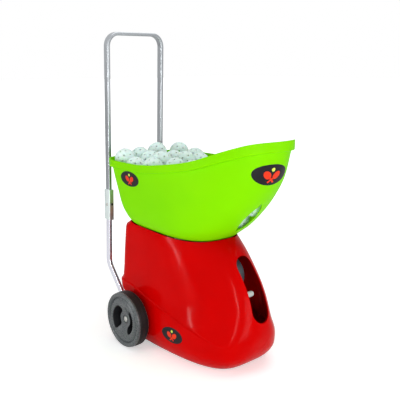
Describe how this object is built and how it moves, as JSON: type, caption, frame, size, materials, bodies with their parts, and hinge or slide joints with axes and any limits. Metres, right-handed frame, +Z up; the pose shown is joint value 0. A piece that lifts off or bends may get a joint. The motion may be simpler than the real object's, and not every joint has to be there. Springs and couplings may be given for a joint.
{
  "type": "pickleball machine",
  "caption": "Wheeled ball thrower: lime hopper with balls on a red moulded body, tall front slot with two throwing wheels, rear control panel and a folding pull handle.",
  "frame": {"origin": "on the ground, at the middle of the whole machine's footprint", "axes": "+X the way the balls fly, +Y the machine's left, +Z up"},
  "size_m": [0.7993, 0.4664, 1.1184],
  "materials": {
    "red_polyethylene": "gloss",
    "lime_polyethylene": "satin",
    "brushed_aluminium": "satin",
    "zinc_plated_steel": "satin",
    "anodised_channel": "satin",
    "grey_nylon": "satin",
    "grey_polypropylene": "satin",
    "black_rubber": "matte",
    "urethane_tyre": "satin",
    "black_abs": "satin",
    "motor_steel": "satin",
    "green_board": "satin",
    "mint_ball": "satin",
    "white_acetal": "satin"
  },
  "bodies": {
    "chassis": {"axle_bracket_left": "zinc_plated_steel", "axle_bracket_right": "zinc_plated_steel", "axle_nut_left": "zinc_plated_steel", "axle_nut_right": "zinc_plated_steel", "ball_chute": "black_abs", "base_pan": "black_abs", "battery": "black_abs", "body_shell": "red_polyethylene", "charge_socket": "black_abs", "control_board": "green_board", "control_panel": "black_abs", "feed_deck": "black_abs", "feed_motor": "motor_steel", "foot_clamp_left": "zinc_plated_steel", "foot_clamp_right": "zinc_plated_steel", "front_foot_left": "black_rubber", "front_foot_right": "black_rubber", "fuse_holder": "black_abs", "hinge_channel_left": "anodised_channel", "hinge_channel_right": "anodised_channel", "hinge_pin_left": "zinc_plated_steel", "hinge_pin_right": "zinc_plated_steel", "lower_tube_left": "brushed_aluminium", "lower_tube_right": "brushed_aluminium", "pivot_bracket_left": "zinc_plated_steel", "pivot_bracket_right": "zinc_plated_steel", "tilt_motor": "motor_steel", "wheel_axle": "zinc_plated_steel", "wheel_spacer_left": "zinc_plated_steel", "wheel_spacer_right": "zinc_plated_steel"},
    "hopper": {"hopper": "lime_polyethylene"},
    "balls": {"ball_load": "mint_ball"},
    "feed": {"feed_wheel": "white_acetal", "feed_shaft": "zinc_plated_steel"},
    "head": {"head_frame": "motor_steel", "pivot_shaft_left": "zinc_plated_steel", "pivot_shaft_right": "zinc_plated_steel", "tilt_sector": "zinc_plated_steel", "throw_motor_upper": "motor_steel", "throw_motor_lower": "motor_steel", "nip_guide": "grey_nylon"},
    "pinion": {"tilt_pinion": "zinc_plated_steel"},
    "thrower_upper": {"throw_tyre_upper": "urethane_tyre", "throw_hub_upper": "brushed_aluminium"},
    "thrower_lower": {"throw_tyre_lower": "urethane_tyre", "throw_hub_lower": "brushed_aluminium"},
    "wheel_left": {"tyre_left": "black_rubber", "wheel_hub_left": "grey_polypropylene"},
    "wheel_right": {"tyre_right": "black_rubber", "wheel_hub_right": "grey_polypropylene"},
    "handle": {"handle_bar": "brushed_aluminium"},
    "lock_left": {"lock_button_left": "black_abs"},
    "lock_right": {"lock_button_right": "black_abs"},
    "power_rocker": {"power_switch": "black_abs"},
    "tilt_rocker": {"tilt_switch": "black_abs"},
    "speed_dial": {"speed_knob": "black_abs"},
    "feed_dial": {"feed_knob": "black_abs"},
    "cap": {"socket_cap": "black_rubber"}
  },
  "joints": [
    {"name": "wheel_left_spin", "type": "hinge", "parent": "chassis", "child": "wheel_left", "pos_m": [-0.1449, 0.207, 0.1016], "axis": [0, 1, 0], "continuous": true},
    {"name": "wheel_right_spin", "type": "hinge", "parent": "chassis", "child": "wheel_right", "pos_m": [-0.1449, -0.207, 0.1016], "axis": [0, 1, 0], "continuous": true},
    {"name": "handle_fold", "type": "hinge", "parent": "chassis", "child": "handle", "pos_m": [-0.3767, 0, 0.475], "axis": [0, -1, 0], "range_deg": [0, 130]},
    {"name": "lock_left_press", "type": "slide", "parent": "chassis", "child": "lock_left", "axis": [-0.9995, 0, 0.0314], "range_m": [0, 0.003], "stiffness_N_per_m": 400},
    {"name": "lock_right_press", "type": "slide", "parent": "chassis", "child": "lock_right", "axis": [-0.9995, 0, 0.0314], "range_m": [0, 0.003], "stiffness_N_per_m": 400},
    {"name": "hopper_lift", "type": "slide", "parent": "chassis", "child": "hopper", "axis": [0, 0, 1], "range_m": [0, 0.25]},
    {"name": "ball_load_lift", "type": "slide", "parent": "hopper", "child": "balls", "axis": [0, 0, 1], "range_m": [0, 0.15]},
    {"name": "feed_spin", "type": "hinge", "parent": "chassis", "child": "feed", "pos_m": [-0.0329, 0, 0.42], "axis": [0, 0, 1], "continuous": true},
    {"name": "head_tilt", "type": "hinge", "parent": "chassis", "child": "head", "pos_m": [0.0801, 0, 0.215], "axis": [0, -1, 0], "range_deg": [0, 28]},
    {"name": "pinion_spin", "type": "hinge", "parent": "chassis", "child": "pinion", "pos_m": [-0.0041, 0, 0.215], "axis": [0, -1, 0], "range_deg": [-172, 2]},
    {"name": "thrower_upper_spin", "type": "hinge", "parent": "head", "child": "thrower_upper", "pos_m": [0.1601, 0, 0.306], "axis": [0, 1, 0], "continuous": true},
    {"name": "thrower_lower_spin", "type": "hinge", "parent": "head", "child": "thrower_lower", "pos_m": [0.1601, 0, 0.124], "axis": [0, 1, 0], "continuous": true},
    {"name": "power_rock", "type": "hinge", "parent": "chassis", "child": "power_rocker", "pos_m": [-0.26222, 0.052, 0.34421], "axis": [0, -1, 0], "range_deg": [0, 16]},
    {"name": "tilt_rock", "type": "hinge", "parent": "chassis", "child": "tilt_rocker", "pos_m": [-0.26626, 0.052, 0.28635], "axis": [0, -1, 0], "range_deg": [-8, 8], "stiffness_Nm_per_rad": 0.15},
    {"name": "speed_turn", "type": "hinge", "parent": "chassis", "child": "speed_dial", "pos_m": [-0.26449, -0.004, 0.34036], "axis": [-0.9976, 0, 0.0698], "range_deg": [0, 270]},
    {"name": "feed_turn", "type": "hinge", "parent": "chassis", "child": "feed_dial", "pos_m": [-0.26449, -0.05, 0.34036], "axis": [-0.9976, 0, 0.0698], "range_deg": [0, 270]},
    {"name": "cap_flip", "type": "hinge", "parent": "chassis", "child": "cap", "pos_m": [-0.27081, -0.004, 0.2987], "axis": [0, 1, 0], "range_deg": [0, 100]}
  ],
  "couplings": [
    {"joint": "pinion_spin", "follows": "head_tilt", "ratio": -6}
  ]
}
